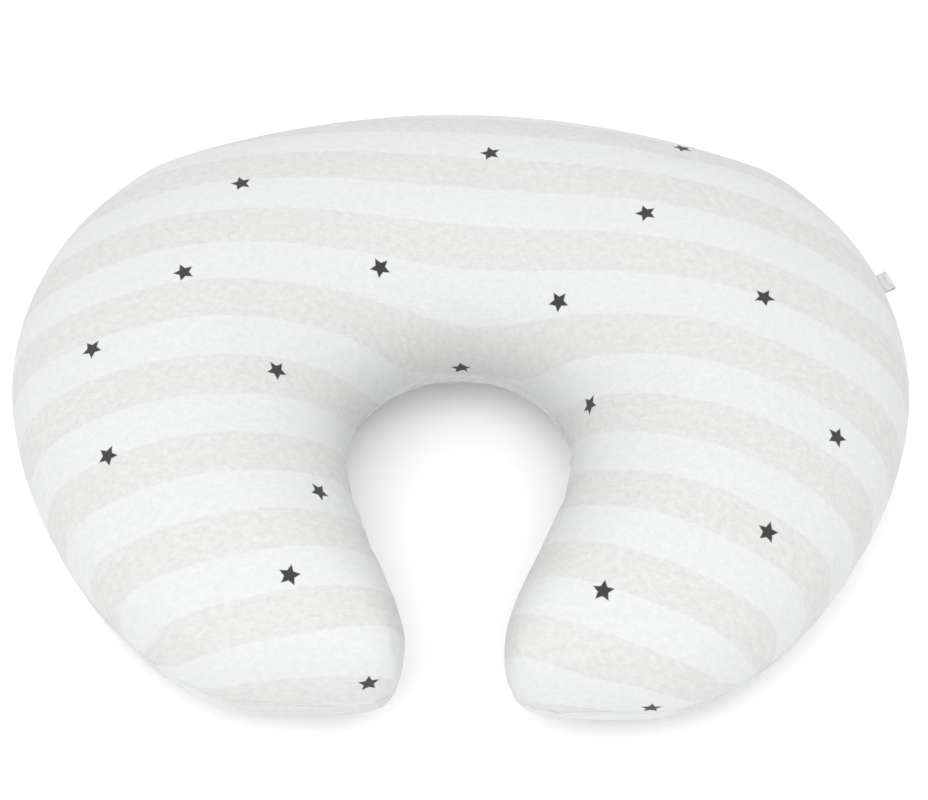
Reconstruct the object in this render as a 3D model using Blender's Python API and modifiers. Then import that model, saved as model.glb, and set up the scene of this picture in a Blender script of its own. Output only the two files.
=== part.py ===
"""Nursing pillow: a horseshoe cushion in a removable zipped cover.

The cover is an upper and a lower fabric panel sewn together around the horseshoe's outline, with a
coil zip let into the seam at the back. Inside it sits a sewn inner casing filled with fibre.
Metres, +Z up. +Y points to the back of the pillow and the arms' tips point to -Y.
"""
import math

import bmesh
import bpy
import numpy as np
from mathutils import Matrix, Vector

# ---- overall sizes -------------------------------------------------------------------------
WIDTH = 0.560               # across both arms
DEPTH = 0.424               # back of the pillow to the arms' tips
THICKNESS = 0.152           # floor to the crown of the arms
SEAM_HEIGHT = 0.070         # floor to the seam around the outline

# ---- the horseshoe's outline, seen from above ----------------------------------------------
BACK_RADIUS = 0.450         # the back edge is a true arc, so the zip can run along it
BACK_STEP = math.radians(3.0)
BACK_STEPS = 9              # half of the back arc is this many steps
WIDEST_AT = 0.197           # how far forward of the back edge the pillow is widest
TIP_SPREAD = 0.226          # between the two tips' foremost points
TIP_GAP = 0.058             # narrowest gap, between the arms' inner corners
TIP_ROUND = 0.029           # tips' foremost points back to the narrowest gap
BACK_DEPTH = 0.182          # fabric depth behind the waist opening
OPENING_WIDTH = 0.140       # the waist opening's greatest width
OPENING_SHOULDER = 0.066    # back of the opening to where it is widest
CORNER = 0.070              # half the outline length taken by each arm's end
CAP = 0.110                 # length over which an arm's end rounds off
CROWN_BACK = 0.95           # crown of the back section, as a share of the arms' crown
BELLY = 1.10                # how much fuller the underside would be, if the floor did not flatten it

# ---- fabric layers -------------------------------------------------------------------------
COVER_CLOTH = 0.0012
CASING_CLOTH = 0.0008
CLEAR = 0.0003              # gap kept between pieces that touch
SEAM_BAND = 0.003           # upright strip of fabric at the seam
CASING_GAP = 0.0019         # room between the casing and the zip slider's back plate
CASING_SLACK = 0.0010       # room between the casing and the cover over the crown
FILL_SLACK = 0.0006         # the same between the filling and the casing

# ---- zip -----------------------------------------------------------------------------------
ZIP_TAPE_STEPS = 8          # tape runs this many back steps each side of the middle
ZIP_COIL_STEPS = 7
ZIP_PANEL_GAP = 0.0008      # slider to the folded edge of each panel along the zip
ZIP_STRIP = 0.014           # half height of the upright strip that carries the zip
TAPE = 0.0007
TAPE_EDGE = 0.0015          # seam line to the tape's edge
COIL = 0.0020
COIL_HALF = 0.0030
SLIDER_BACK = 0.0060        # slider's length behind and ahead of the coil's end
SLIDER_AHEAD = 0.0030
SLIDER_WALL = 0.0011
SLIDER_FLANGE = 0.0009
STOP_LENGTH = 0.0020
PULL_LENGTH = 0.020
PULL_HALF = 0.0026
PULL_THICK = 0.0012
THREAD = 0.00035
TOPSTITCH_EDGE = 0.0022     # folded edge of each panel to its row of topstitching
STOP_LIP = 0.0002           # how far the stops reach past the coil's edge

# ---- tab sewn into the seam ----------------------------------------------------------------
TAB_WIDTH = 0.014
TAB_REACH = 0.011
TAB_RIBBON = 0.0004
TAB_AT = 0.305              # along the seam, from the middle of the back to the tab's middle
TAB_LIFT = 0.00035          # how far each panel's edge stands back for the tab's ribbon

ROWS_TO_TAB = 2             # cross rows from the back arc to the tab, and on to the arm's end
ROWS_PAST_TAB = 5
CAP_ROWS = 5
COLUMNS = 8
CENTRE_Y = DEPTH / 2
ARC_Y = CENTRE_Y - BACK_RADIUS

# ---- fits that follow from the sizes above --------------------------------------------------
TAPE_OUT = -(COVER_CLOTH + CLEAR)           # distances from the outline, + is outward
TAPE_IN = TAPE_OUT - TAPE
COIL_IN = TAPE_OUT + CLEAR
COIL_OUT = COIL_IN + COIL
WING_IN = COIL_OUT + CLEAR
WING_OUT = WING_IN + SLIDER_WALL
BACK_WING_OUT = TAPE_IN - CLEAR
BACK_WING_IN = BACK_WING_OUT - SLIDER_WALL
PULL_AT = WING_OUT + CLEAR + PULL_THICK / 2
BAIL_IN = PULL_AT + PULL_THICK / 2 + CLEAR
BAIL_OUT = BAIL_IN + 0.0008
SLIDER_MID = (SLIDER_AHEAD - SLIDER_BACK) / 2
SLIDER_HALF = COIL_HALF + CLEAR + SLIDER_FLANGE
ZIP_PANEL_EDGE = SLIDER_HALF + ZIP_PANEL_GAP
TOPSTITCH_AT = ZIP_PANEL_EDGE + TOPSTITCH_EDGE
STOP_HALF = COIL_HALF + STOP_LIP
CASING_INSET = CASING_GAP - BACK_WING_IN    # from the cover's outer face, around the outline
CASING_DROP = COVER_CLOTH + CASING_SLACK    # from the cover's outer face, over the crown
FILL_INSET = CASING_INSET + CASING_CLOTH + 2 * THREAD + 3 * CLEAR
FILL_DROP = CASING_DROP + CASING_CLOTH + FILL_SLACK
TIP_GAP_AT = DEPTH - TIP_ROUND
OPENING_AT = BACK_DEPTH + OPENING_SHOULDER


def clear_scene():
    for ob in list(bpy.data.objects):
        bpy.data.objects.remove(ob, do_unlink=True)


def new_collection(name):
    col = bpy.data.collections.new(name)
    bpy.context.scene.collection.children.link(col)
    return col


def material(name, colour, roughness, metallic=0.0):
    mat = bpy.data.materials.new(name)
    mat.use_nodes = True
    shader = mat.node_tree.nodes["Principled BSDF"]
    shader.inputs["Base Color"].default_value = (*colour, 1.0)
    shader.inputs["Roughness"].default_value = roughness
    shader.inputs["Metallic"].default_value = metallic
    return mat


def add_object(name, bm, col, mat):
    mesh = bpy.data.meshes.new(name)
    bm.to_mesh(mesh)
    bm.free()
    ob = bpy.data.objects.new(name, mesh)
    col.objects.link(ob)
    if mat:
        mesh.materials.append(mat)
    return ob


# ---- outline --------------------------------------------------------------------------------
def bezier(p0, h0, h1, p1, count=60):
    t = np.linspace(0.0, 1.0, count)[:, None]
    return (1 - t) ** 3 * p0 + 3 * (1 - t) ** 2 * t * h0 + 3 * (1 - t) * t ** 2 * h1 + t ** 3 * p1


def half_outline():
    """Right half of the outline, from the middle of the back round the arm to the waist opening."""
    end = BACK_STEP * BACK_STEPS
    turn = np.linspace(0.0, end, 181)
    arc = np.stack([BACK_RADIUS * np.sin(turn), BACK_RADIUS * (np.cos(turn) - 1)], 1)
    knots = [
        (arc[-1], (math.cos(end), -math.sin(end))),
        ((WIDTH / 2, -WIDEST_AT), (0, -1)),
        ((TIP_SPREAD / 2, -DEPTH), (-1, 0)),
        ((TIP_GAP / 2, -TIP_GAP_AT), (0, 1)),
        ((OPENING_WIDTH / 2, -OPENING_AT), (0, 1)),
        ((0, -BACK_DEPTH), (-1, 0)),
    ]
    reach = [(0.28, 0.40), (0.35, 0.28), (0.75, 0.33), (0.20, 0.37), (0.34, 0.45)]
    runs = [arc]
    for (a, ta), (b, tb), (ra, rb) in zip(knots, knots[1:], reach):
        a, ta, b, tb = (np.array(v, float) for v in (a, ta, b, tb))
        span = np.linalg.norm(b - a)
        runs.append(bezier(a, a + ta * span * ra, b - tb * span * rb, b)[1:])
    points = np.concatenate(runs)
    tip = len(arc) + 2 * 59 - 1
    return points, tip


OUTLINE, TIP = half_outline()
STEPS = np.linalg.norm(np.diff(OUTLINE, axis=0), axis=1)
ALONG = np.concatenate([[0.0], np.cumsum(STEPS)])
TANGENT = np.gradient(OUTLINE, axis=0)
TANGENT /= np.linalg.norm(TANGENT, axis=1)[:, None]
TANGENT[0] = (1, 0)
TANGENT[-1] = (-1, 0)
BACK_END = BACK_RADIUS * BACK_STEP * BACK_STEPS
OUTER_END = ALONG[TIP] - CORNER
INNER_END = ALONG[TIP] + CORNER


def outline_at(s, inset=0.0):
    """Point on the outline a distance s from the middle of the back, moved inward by inset."""
    if s <= BACK_END:
        turn = s / BACK_RADIUS
        r = BACK_RADIUS - inset
        return np.array([r * math.sin(turn), r * math.cos(turn) - BACK_RADIUS])
    p = np.array([np.interp(s, ALONG, OUTLINE[:, k]) for k in (0, 1)])
    t = np.array([np.interp(s, ALONG, TANGENT[:, k]) for k in (0, 1)])
    t /= np.linalg.norm(t)
    return p + np.array([t[1], -t[0]]) * inset


def row_stations(back_rows):
    """Outer-edge distances of the cross rows and how far each is into the arm's end (0 to 1)."""
    cap_start = OUTER_END - CAP
    back = np.linspace(0.0, BACK_END, back_rows + 1)
    to_tab = np.linspace(BACK_END, TAB_AT, ROWS_TO_TAB + 1)[1:]
    past_tab = np.linspace(TAB_AT, cap_start, ROWS_PAST_TAB + 1)[1:]
    into = np.sin(np.linspace(0.0, math.pi / 2, CAP_ROWS + 1))[1:]
    cap = cap_start + into * CAP
    stations = np.concatenate([back, to_tab, past_tab, cap])
    ends = np.concatenate([np.zeros(len(stations) - len(into)), into])
    return stations, ends


def fade(s, start, stop):
    t = min(max((s - start) / (stop - start), 0.0), 1.0)
    return 1.0 - t * t * (3 - 2 * t)


ZIP_END = BACK_RADIUS * BACK_STEP * ZIP_TAPE_STEPS


def surface(inset, drop, side, back_rows, zipped, band):
    """Half of one domed face as an open sheet, with an upright band of fabric down to the seam."""
    stations, ends = row_stations(back_rows)
    rows = len(stations) - 1
    bm = bmesh.new()
    bmesh.ops.create_grid(bm, x_segments=rows, y_segments=COLUMNS, size=1.0)
    crown = THICKNESS - SEAM_HEIGHT - drop
    lip_of = {}
    for vert in bm.verts:
        i = round((vert.co.x + 1) / 2 * rows)
        j = round((vert.co.y + 1) / 2 * COLUMNS)
        s = stations[i]
        into = ends[i]
        share = s / OUTER_END
        across = math.sin(math.pi * (j / COLUMNS - 0.5))
        v = (across + 1) / 2
        inner = outline_at(ALONG[-1] + (INNER_END - ALONG[-1]) * share, inset)
        outer = outline_at(s, inset)
        end_in = outline_at(INNER_END, inset)
        end_out = outline_at(OUTER_END, inset)
        end = outline_at(INNER_END + (OUTER_END - INNER_END) * v, inset)
        bulge = end - (end_in * (1 - v) + end_out * v)
        plan = inner * (1 - v) + outer * v + into ** 2 * bulge
        if i == 0:
            plan[0] = 0.0
        strip = fade(s, ZIP_END, ZIP_END * 1.5) if zipped else 0.0
        rim = band + (ZIP_STRIP - band) * strip * v
        height = crown * (CROWN_BACK + (1 - CROWN_BACK) * min(max(share / 0.45, 0), 1))
        round_off = math.sqrt(max(0.0, (1 - across ** 2) * (1 - into ** 2)))
        if side > 0:
            z = SEAM_HEIGHT + rim + (height - rim) * round_off
        else:
            z = max(drop, SEAM_HEIGHT - rim - (height * BELLY - rim) * round_off)
        vert.co = (plan[0], plan[1] + CENTRE_Y, z)
        if i == rows or j in (0, COLUMNS):
            lip = CLEAR / 2
            if j == COLUMNS and zipped and s < ZIP_END + 1e-6:
                lip = ZIP_PANEL_EDGE
            if j == COLUMNS and zipped and i == back_rows + ROWS_TO_TAB:
                lip += TAB_LIFT
            lip_of[vert] = lip
    if band > 0:
        edges = [e for e in bm.edges if len(e.link_faces) == 1 and all(v in lip_of for v in e.verts)]
        edges = [e for e in edges if max(abs(v.co.x) for v in e.verts) > 1e-6]
        fresh = bmesh.ops.extrude_edge_only(bm, edges=edges)["geom"]
        lips = [(v.co.copy(), lip) for v, lip in lip_of.items()]
        for vert in [g for g in fresh if isinstance(g, bmesh.types.BMVert)]:
            near = min(lips, key=lambda item: (item[0] - vert.co).length)
            vert.co.z = SEAM_HEIGHT + side * near[1]
    bmesh.ops.recalc_face_normals(bm, faces=bm.faces)
    top = max(bm.faces, key=lambda f: side * f.calc_center_median().z)
    if top.normal.z * side < 0:
        bmesh.ops.reverse_faces(bm, faces=bm.faces)
    return bm


def mirrored(ob):
    mod = ob.modifiers.new("other half", "MIRROR")
    mod.use_axis = (True, False, False)
    mod.merge_threshold = 1e-5
    mod.use_clip = True


def cloth_panel(name, col, mat, inset, drop, side, back_rows, zipped, cloth):
    ob = add_object(name, surface(inset, drop, side, back_rows, zipped, SEAM_BAND), col, mat)
    mirrored(ob)
    mod = ob.modifiers.new("cloth", "SOLIDIFY")
    mod.thickness = cloth
    mod.offset = -1.0
    mod.use_even_offset = True
    return ob


# ---- pieces that follow the back arc --------------------------------------------------------
def arc_point(turn, out, z):
    """Point on the back arc: turn from the middle toward +X, distance outward, height on the seam."""
    r = BACK_RADIUS + out
    return Vector((r * math.sin(turn), ARC_Y + r * math.cos(turn), SEAM_HEIGHT + z))


def arc_strip(name, col, mat, section, steps):
    """A constant section swept along the back arc, the given number of back steps each way."""
    bm = bmesh.new()
    start = BACK_STEP * steps
    verts = [bm.verts.new(arc_point(start, out, z)) for out, z in section]
    face = bm.faces.new(verts)
    bmesh.ops.spin(bm, geom=[face, *face.edges, *face.verts], cent=(0, ARC_Y, 0), axis=(0, 0, 1),
                   angle=2 * start, steps=2 * steps, use_duplicate=False)
    bmesh.ops.recalc_face_normals(bm, faces=bm.faces)
    return add_object(name, bm, col, mat)


def rectangle(out_low, out_high, z_low, z_high):
    return [(out_low, z_low), (out_high, z_low), (out_high, z_high), (out_low, z_high)]


def local_frame(turn):
    """Axes at a place on the back arc: x along the zip toward +X, y outward, z up."""
    along = Vector((math.cos(turn), -math.sin(turn), 0))
    out = Vector((math.sin(turn), math.cos(turn), 0))
    origin = arc_point(turn, 0, 0)
    return Matrix((
        (along.x, out.x, 0, origin.x),
        (along.y, out.y, 0, origin.y),
        (0, 0, 1, origin.z),
        (0, 0, 0, 1),
    ))


def prism(section, low, high, plane):
    """A flat outline given depth: plane XY stands along z, plane YZ lies along x."""
    bm = bmesh.new()
    if plane == "XY":
        verts = [bm.verts.new((a, b, low)) for a, b in section]
        move = (0, 0, high - low)
    else:
        verts = [bm.verts.new((low, a, b)) for a, b in section]
        move = (high - low, 0, 0)
    face = bm.faces.new(verts)
    out = bmesh.ops.extrude_face_region(bm, geom=[face])["geom"]
    bmesh.ops.translate(bm, verts=[g for g in out if isinstance(g, bmesh.types.BMVert)], vec=move)
    bmesh.ops.recalc_face_normals(bm, faces=bm.faces)
    return bm


def box(low, high):
    return prism([(low[0], low[1]), (high[0], low[1]), (high[0], high[1]), (low[0], high[1])],
                 low[2], high[2], "XY")


def thread(name, col, mat, points, radius, closed=False):
    """A sewing thread as a thin tube through the points."""
    curve = bpy.data.curves.new(name, "CURVE")
    curve.dimensions = "3D"
    spline = curve.splines.new("POLY")
    spline.points.add(len(points) - 1)
    for point, co in zip(spline.points, points):
        point.co = (*co, 1.0)
    spline.use_cyclic_u = closed
    curve.bevel_depth = radius
    curve.bevel_resolution = 0
    curve.resolution_u = 1
    curve.use_fill_caps = not closed
    curve.materials.append(mat)
    ob = bpy.data.objects.new(name, curve)
    col.objects.link(ob)
    return ob


def outline_run(inset, back_rows, start_row):
    """Seam-height points from the right of the zip, round both arms, to the left of the zip."""
    stations, _ = row_stations(back_rows)
    right = [outline_at(s, inset) for s in stations[start_row:]]
    ends = [OUTER_END + (INNER_END - OUTER_END) * (1 - math.cos(math.pi * k / COLUMNS)) / 2
            for k in range(1, COLUMNS)]
    right += [outline_at(s, inset) for s in ends]
    shares = stations / OUTER_END
    back = [outline_at(ALONG[-1] + (INNER_END - ALONG[-1]) * share, inset) for share in shares[::-1]]
    right += back[:-1]
    middle = [np.array([0.0, back[-1][1]])]
    left = [np.array([-p[0], p[1]]) for p in right[::-1]]
    return [(p[0], p[1] + CENTRE_Y, SEAM_HEIGHT) for p in right + middle + left]


# ---- build ----------------------------------------------------------------------------------
clear_scene()
parts = new_collection("nursing_pillow")
cutters = new_collection("construction")

cotton = material("cover_cotton", (0.84, 0.85, 0.85), 0.95)
cotton_under = material("cover_cotton_under", (0.82, 0.83, 0.83), 0.95)
sewing = material("sewing_thread", (0.80, 0.80, 0.79), 0.8)
tape_cloth = material("zip_tape_cloth", (0.78, 0.78, 0.78), 0.9)
nylon = material("zip_nylon", (0.75, 0.75, 0.75), 0.4)
nickel = material("zip_nickel", (0.62, 0.62, 0.60), 0.3, 1.0)
ribbon = material("tab_ribbon", (0.62, 0.62, 0.63), 0.7)
casing_cloth = material("casing_cloth", (0.88, 0.88, 0.86), 0.95)
fibre = material("polyester_fibre", (0.93, 0.93, 0.93), 1.0)

# the cover's two panels
for panel, side, mat in (("cover_top_panel", 1, cotton), ("cover_bottom_panel", -1, cotton_under)):
    cloth_panel(panel, parts, mat, 0.0, 0.0, side, BACK_STEPS, True, COVER_CLOTH)
run = outline_run(COVER_CLOTH + 3 * CLEAR, BACK_STEPS, BACK_STEPS + 1)
thread("cover_seam_thread", parts, sewing, run, THREAD)

# the inner casing's two panels and the filling
for panel, side in (("inner_casing_top", 1), ("inner_casing_bottom", -1)):
    cloth_panel(panel, parts, casing_cloth, CASING_INSET, CASING_DROP, side, 3, False, CASING_CLOTH)
run = outline_run(CASING_INSET + CASING_CLOTH + CLEAR + THREAD, 3, 0)[:-1]
thread("casing_seam_thread", parts, sewing, run, THREAD, closed=True)
upper = surface(FILL_INSET, FILL_DROP, 1, 3, False, 0.0)
lower = surface(FILL_INSET, FILL_DROP, -1, 3, False, 0.0)
spare = bpy.data.meshes.new("filling_lower")
lower.to_mesh(spare)
lower.free()
upper.from_mesh(spare)
bpy.data.meshes.remove(spare)
bmesh.ops.remove_doubles(upper, verts=upper.verts, dist=1e-6)
filling = add_object("fibre_filling", upper, parts, fibre)
mirrored(filling)

# zip tapes, coils and the topstitching that holds them
for half, side in (("upper", 1), ("lower", -1)):
    tape = [(out, side * z) for out, z in rectangle(TAPE_IN, TAPE_OUT, TAPE_EDGE, ZIP_STRIP - 0.001)]
    arc_strip("zip_tape_" + half, parts, tape_cloth, tape, ZIP_TAPE_STEPS)
    coil = [(out, side * z) for out, z in rectangle(COIL_IN, COIL_OUT, CLEAR / 2, COIL_HALF)]
    arc_strip("zip_coil_" + half, parts, nylon, coil, ZIP_COIL_STEPS)
    stitch = rectangle(CLEAR, CLEAR + 2 * THREAD, TOPSTITCH_AT - THREAD, TOPSTITCH_AT + THREAD)
    stitch = [(out, side * z) for out, z in stitch]
    arc_strip("zip_topstitch_" + half, parts, sewing, stitch, ZIP_TAPE_STEPS)

# metal stops: a clip round each tape's edge at the slider's end, one clip across both at the other
coil_end = BACK_STEP * ZIP_COIL_STEPS
stop_low = BACK_WING_IN + CLEAR
stop_high = COIL_OUT
slot_low = TAPE_IN - CLEAR
slot_high = TAPE_OUT + CLEAR
slot_from = TAPE_EDGE - CLEAR
closed_end = local_frame(coil_end)
for half, side in (("upper", 1), ("lower", -1)):
    clip = [(stop_low, 0.0004), (stop_high, 0.0004), (stop_high, STOP_HALF), (slot_high, STOP_HALF),
            (slot_high, slot_from), (slot_low, slot_from), (slot_low, STOP_HALF), (stop_low, STOP_HALF)]
    clip = [(out, side * z) for out, z in clip]
    low = SLIDER_AHEAD + CLEAR
    bm = prism(clip, low, low + STOP_LENGTH, "YZ")
    bmesh.ops.transform(bm, matrix=closed_end, verts=bm.verts)
    add_object("zip_top_stop_" + half, bm, parts, nickel)
clip = [(stop_low, STOP_HALF), (slot_low, STOP_HALF), (slot_low, slot_from), (slot_high, slot_from),
        (slot_high, STOP_HALF), (stop_high, STOP_HALF)]
clip += [(out, -z) for out, z in clip[::-1]]
bm = prism(clip, -CLEAR - STOP_LENGTH, -CLEAR, "YZ")
bmesh.ops.transform(bm, matrix=local_frame(-coil_end), verts=bm.verts)
add_object("zip_bottom_stop", bm, parts, nickel)

# slider: two plates joined by the wedge that parts the coils, side flanges, and the pull's bail
bail_low = SLIDER_MID - 0.0034
bail_high = SLIDER_MID + 0.0034
bail = [(bail_low, WING_OUT - CLEAR), (bail_low + 0.0008, WING_OUT - CLEAR),
        (bail_low + 0.0008, BAIL_IN), (bail_high - 0.0008, BAIL_IN),
        (bail_high - 0.0008, WING_OUT - CLEAR), (bail_high, WING_OUT - CLEAR),
        (bail_high, BAIL_OUT), (bail_low, BAIL_OUT)]
flange = COIL_HALF + CLEAR
channel = [(WING_OUT, -SLIDER_HALF), (WING_OUT, SLIDER_HALF), (COIL_IN, SLIDER_HALF), (COIL_IN, flange),
           (WING_IN, flange), (WING_IN, -flange), (COIL_IN, -flange), (COIL_IN, -SLIDER_HALF)]
solids = [
    prism(channel, -SLIDER_BACK, SLIDER_AHEAD, "YZ"),
    box((-SLIDER_BACK, BACK_WING_IN, -SLIDER_HALF), (SLIDER_AHEAD, BACK_WING_OUT, SLIDER_HALF)),
    box((2 * CLEAR, BACK_WING_OUT - CLEAR, -0.0009), (SLIDER_AHEAD - CLEAR, WING_IN + CLEAR, 0.0009)),
    prism(bail, -0.0008, 0.0008, "XY"),
]
arc_centre = Vector((0, ARC_Y, SEAM_HEIGHT))
for bm in solids:
    bmesh.ops.transform(bm, matrix=Matrix.Translation(-arc_centre) @ closed_end, verts=bm.verts)
slider = add_object("zip_slider", solids[0], parts, nickel)
slider.location = arc_centre
for number, bm in enumerate(solids[1:]):
    piece = add_object("slider_piece_%d" % number, bm, cutters, None)
    piece.location = arc_centre
    piece.hide_render = True
    piece.display_type = "WIRE"
    join = slider.modifiers.new("join %d" % number, "BOOLEAN")
    join.operation = "UNION"
    join.solver = "EXACT"
    join.object = piece

# pull: a plate with an eye around the bail; its crossbar turns under the bail
eye_half = 0.0008 + CLEAR + 0.0001
bar_half = PULL_THICK / 2
eye_end = SLIDER_MID - 0.0034 - 2 * CLEAR
plate_end = SLIDER_MID - PULL_LENGTH
bm = prism([
    (SLIDER_MID + bar_half, -PULL_HALF), (SLIDER_MID + bar_half, PULL_HALF),
    (plate_end + 0.001, PULL_HALF), (plate_end, PULL_HALF - 0.001),
    (plate_end, -PULL_HALF + 0.001), (plate_end + 0.001, -PULL_HALF),
], PULL_AT - bar_half, PULL_AT + bar_half, "XY")
eye = prism([
    (SLIDER_MID - bar_half, -eye_half), (SLIDER_MID - bar_half, eye_half),
    (eye_end, eye_half), (eye_end, -eye_half),
], PULL_AT - 0.002, PULL_AT + 0.002, "XY")
lay_flat = Matrix(((1, 0, 0, 0), (0, 0, 1, 0), (0, 1, 0, 0), (0, 0, 0, 1)))
pivot = closed_end @ Vector((SLIDER_MID, PULL_AT, 0))
for shape in (bm, eye):
    bmesh.ops.transform(shape, matrix=Matrix.Translation(-pivot) @ closed_end @ lay_flat,
                        verts=shape.verts)
    bmesh.ops.recalc_face_normals(shape, faces=shape.faces)
pull = add_object("zip_pull", bm, parts, nickel)
pull.location = pivot
cutter = add_object("pull_eye", eye, cutters, None)
cutter.location = pivot
cutter.hide_render = True
cutter.display_type = "WIRE"
cut = pull.modifiers.new("eye", "BOOLEAN")
cut.operation = "DIFFERENCE"
cut.solver = "EXACT"
cut.object = cutter

# ribbon tab: a folded loop whose two ends are caught in the seam
t = outline_at(TAB_AT + 0.001) - outline_at(TAB_AT - 0.001)
t /= np.linalg.norm(t)
p = outline_at(TAB_AT)
root = COVER_CLOTH + CLEAR
bow = 0.0013
loop = [(-root, -TAB_RIBBON / 2), (0.0015, -TAB_RIBBON / 2), (0.0045, -bow), (TAB_REACH - 0.001, -bow),
        (TAB_REACH, -bow * 0.5), (TAB_REACH, bow * 0.5), (TAB_REACH - 0.001, bow), (0.0045, bow),
        (0.0015, TAB_RIBBON / 2), (-root, TAB_RIBBON / 2)]
hole = bow - TAB_RIBBON
gap = [(0.0030, 0.0), (0.0048, -hole), (TAB_REACH - 0.0011, -hole), (TAB_REACH - TAB_RIBBON, -hole * 0.5),
       (TAB_REACH - TAB_RIBBON, hole * 0.5), (TAB_REACH - 0.0011, hole), (0.0048, hole)]
place = Matrix(((t[0], -t[1], 0, p[0]), (t[1], t[0], 0, p[1] + CENTRE_Y), (0, 0, 1, SEAM_HEIGHT),
                (0, 0, 0, 1)))
bm = prism(loop, -TAB_WIDTH / 2, TAB_WIDTH / 2, "YZ")
eye = prism(gap, -TAB_WIDTH, TAB_WIDTH, "YZ")
for shape in (bm, eye):
    bmesh.ops.transform(shape, matrix=place, verts=shape.verts)
tab = add_object("seam_tab", bm, parts, ribbon)
cutter = add_object("tab_hollow", eye, cutters, None)
cutter.hide_render = True
cutter.display_type = "WIRE"
cut = tab.modifiers.new("loop", "BOOLEAN")
cut.operation = "DIFFERENCE"
cut.solver = "EXACT"
cut.object = cutter
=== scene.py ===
# %% [markdown]
# # A nursing pillow: printed jersey, a sewn seam and a coil zip
# The pillow is a horseshoe cushion. A loose cover of cotton jersey is pulled over a sewn inner
# casing full of polyester fibre. The cover has an upper and a lower panel, joined by one seam that
# runs round the whole outline, and a coil zip takes the seam's place along the back.
# The CAD solids give each piece its size and place, and this script gives it its looks. The filled
# cover is drawn a little lower than its solids, and its seam slips down the flanks.

# %% Load the frame
import math

import bpy
import numpy as np
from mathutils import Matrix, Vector
from mathutils.kdtree import KDTree


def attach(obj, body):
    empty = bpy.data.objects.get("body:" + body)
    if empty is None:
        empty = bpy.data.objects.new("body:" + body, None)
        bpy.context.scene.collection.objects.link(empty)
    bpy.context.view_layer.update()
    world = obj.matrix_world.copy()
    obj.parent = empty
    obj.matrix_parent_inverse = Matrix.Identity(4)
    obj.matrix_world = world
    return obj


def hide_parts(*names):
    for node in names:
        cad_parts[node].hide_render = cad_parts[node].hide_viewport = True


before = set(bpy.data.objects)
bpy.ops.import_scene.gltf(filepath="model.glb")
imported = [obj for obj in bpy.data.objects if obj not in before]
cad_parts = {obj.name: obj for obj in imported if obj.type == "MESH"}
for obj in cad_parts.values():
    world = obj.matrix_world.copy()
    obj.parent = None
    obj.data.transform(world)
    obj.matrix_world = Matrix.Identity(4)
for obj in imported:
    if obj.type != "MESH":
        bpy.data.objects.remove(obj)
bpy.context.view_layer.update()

# %% [markdown]
# ## The design values, most of them the CAD solids' own
# The seam's outline is one smooth line. It starts at the middle of the back as a true arc, which
# lets the zip run along it, turns down the outside of the arm, round its tip and back up the
# inside to the waist opening. Half of it is drawn and the other half is its mirror.

# %% Sizes in metres
WIDTH = 0.560               # across both arms
DEPTH = 0.424               # back of the pillow to the arms' tips
THICKNESS = 0.152
SEAM_HEIGHT = 0.070
BACK_RADIUS = 0.450         # the back edge is a true arc
BACK_TURN = math.radians(27)
WIDEST_AT = 0.197           # from the back to the widest place
TIP_SPREAD = 0.226          # between the lowest points of the two tips
TIP_GAP = 0.058
TIP_ROUND = 0.029
OPENING_WIDTH = 0.140
BACK_DEPTH = 0.182          # from the back edge to the waist
OPENING_SHOULDER = 0.066
CORNER = 0.070              # from a tip, along the seam, to the ends of its rows
CAP = 0.110                 # length of the arm whose rows curve round the tip
CROWN_BACK = 0.84           # the crown at the middle of the back, as a share of the arms'
REAR_SLACK = 0.10           # how much further the rear flank falls away there
BELLY = 1.10                # the lower dome is this much deeper, and flattens on the floor
FLOOR_SOFT = 0.004          # height over which it comes down to the floor
CENTRE_Y = DEPTH / 2
ARC_Y = CENTRE_Y - BACK_RADIUS
ZIP_TURN = math.radians(24)
ZIP_EDGE = 0.005            # seam line to each panel's folded edge along the zip
ZIP_STRIP = 0.014           # half height of the upright strip that carries the zip
SLOT_CLOSES = (0.925, 0.985)    # shares of the zip's half length over which the slot closes
print("Pillow, mm:", [round(v * 1000) for v in (WIDTH, DEPTH, THICKNESS)])

# %% [markdown]
# ## Half of the seam's outline
# Each stretch is a cubic curve that leaves one knot and reaches the next in a given direction,
# as a curve tool draws it. Few knots keep the line fair, and two reach values a stretch set how
# full it is.

# %% The outline
def bezier(p0, h0, h1, p1, count=60):
    t = np.linspace(0.0, 1.0, count)[:, None]
    return (1 - t) ** 3 * p0 + 3 * (1 - t) ** 2 * t * h0 + 3 * (1 - t) * t**2 * h1 + t**3 * p1


def half_outline():
    """Points from the middle of the back to the waist, and which of them is the tip's lowest."""
    turn = np.linspace(0.0, BACK_TURN, 181)
    arc = np.stack([BACK_RADIUS * np.sin(turn), BACK_RADIUS * (np.cos(turn) - 1)], 1)
    knots = [
        (arc[-1], (math.cos(BACK_TURN), -math.sin(BACK_TURN))),
        ((WIDTH / 2, -WIDEST_AT), (0, -1)),
        ((TIP_SPREAD / 2, -DEPTH), (-1, 0)),
        ((TIP_GAP / 2, TIP_ROUND - DEPTH), (0, 1)),
        ((OPENING_WIDTH / 2, -BACK_DEPTH - OPENING_SHOULDER), (0, 1)),
        ((0, -BACK_DEPTH), (-1, 0)),
    ]
    reach = [(0.28, 0.40), (0.35, 0.28), (0.75, 0.33), (0.20, 0.37), (0.34, 0.45)]
    runs = [arc]
    for (a, ta), (b, tb), (ra, rb) in zip(knots, knots[1:], reach):
        a, ta, b, tb = (np.array(v, float) for v in (a, ta, b, tb))
        span = np.linalg.norm(b - a)
        runs.append(bezier(a, a + ta * span * ra, b - tb * span * rb, b)[1:])
    return np.concatenate(runs), len(arc) + 2 * 59 - 1


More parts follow.
